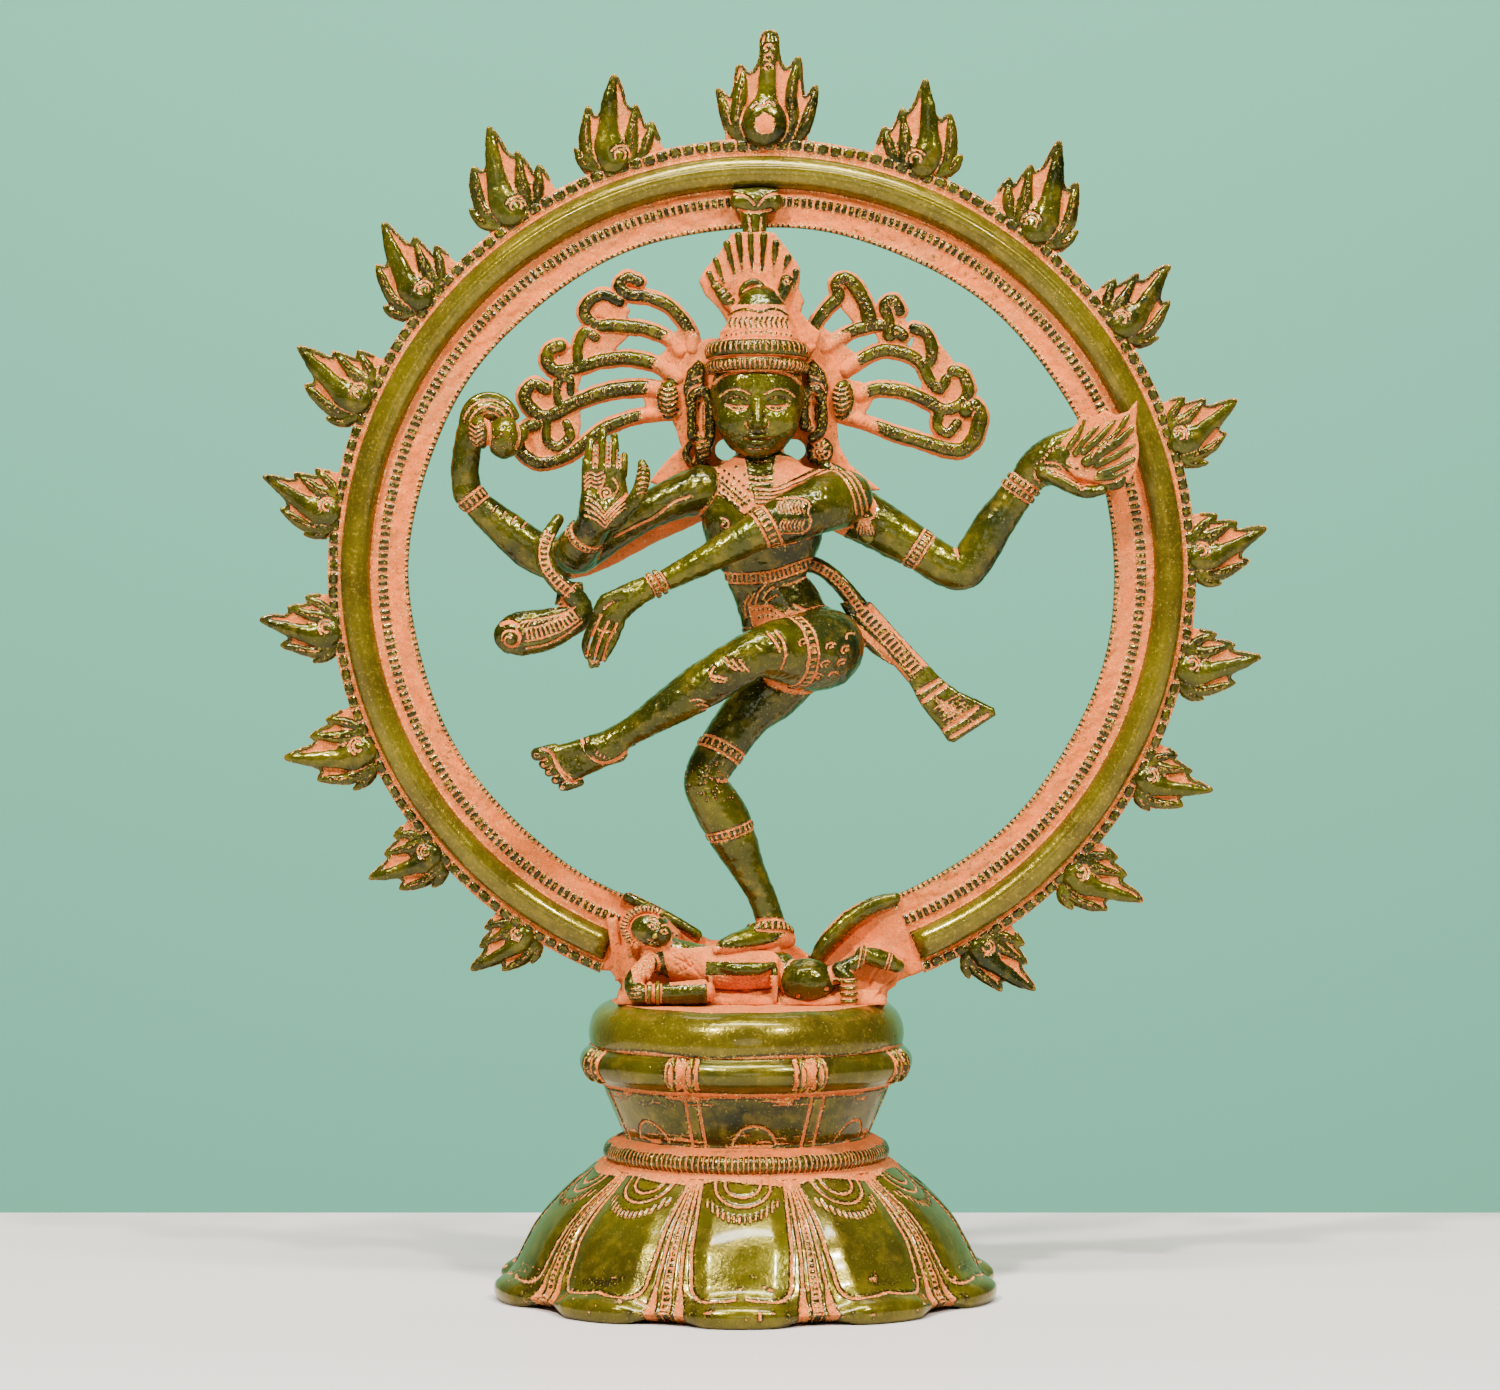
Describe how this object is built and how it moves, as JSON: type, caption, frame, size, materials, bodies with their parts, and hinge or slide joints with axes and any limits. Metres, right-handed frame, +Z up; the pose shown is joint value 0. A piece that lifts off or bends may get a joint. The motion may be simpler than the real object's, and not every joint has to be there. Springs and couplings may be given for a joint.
{
  "type": "nataraja statue",
  "caption": "Cast brass dancing figure inside a flaming ring, standing on a dwarf and plinth over a round hollow lotus pedestal; display figurine.",
  "frame": {"origin": "middle of the pedestal's flat foot, on the surface that the statue stands on", "axes": "+Z up along the pedestal's axis, the figure faces -Y, +X is to the right of someone facing the statue"},
  "size_m": [0.3646, 0.183, 0.4567],
  "materials": {
    "green_brass": "glossy olive-green to gold patinated brass on the raised surfaces, matt salmon-pink patina in the grooves and recesses",
    "pink_patina": "matt salmon-pink patina over brass, rubbed to pale gold on the edges",
    "steel_fixings": "plain zinc-grey steel stud, nut, washer and rivets inside the pedestal and plinth"
  },
  "bodies": {
    "root": {"lotus_skirt": "green_brass", "beaded_collar": "green_brass", "waist_drum": "green_brass", "rim_band": "green_brass", "seat_dome": "green_brass", "plinth_stud": "steel_fixings", "stud_washer": "steel_fixings", "stud_nut": "steel_fixings", "demon_plinth": "pink_patina", "dwarf_figure": "green_brass", "arch_ring": "green_brass", "tang_rivets": "steel_fixings", "top_flame": "green_brass", "crown_bracket": "green_brass", "torso": "green_brass", "head": "green_brass", "crown": "green_brass", "nape_plate": "pink_patina", "hair_left": "green_brass", "hair_right": "green_brass", "rear_right_arm": "green_brass", "hand_drum": "green_brass", "front_right_arm": "green_brass", "cobra": "green_brass", "front_left_arm": "green_brass", "rear_left_arm": "green_brass", "hand_flame": "green_brass", "raised_leg": "green_brass", "standing_leg": "green_brass", "sash": "green_brass", "flame_left_1": "green_brass", "flame_left_2": "green_brass", "flame_left_3": "green_brass", "flame_left_4": "green_brass", "flame_left_5": "green_brass", "flame_left_6": "green_brass", "flame_left_7": "green_brass", "flame_left_8": "green_brass", "flame_left_9": "green_brass", "flame_right_1": "green_brass", "flame_right_2": "green_brass", "flame_right_3": "green_brass", "flame_right_4": "green_brass", "flame_right_5": "green_brass", "flame_right_6": "green_brass", "flame_right_7": "green_brass", "flame_right_8": "green_brass", "flame_right_9": "green_brass"}
  },
  "joints": []
}
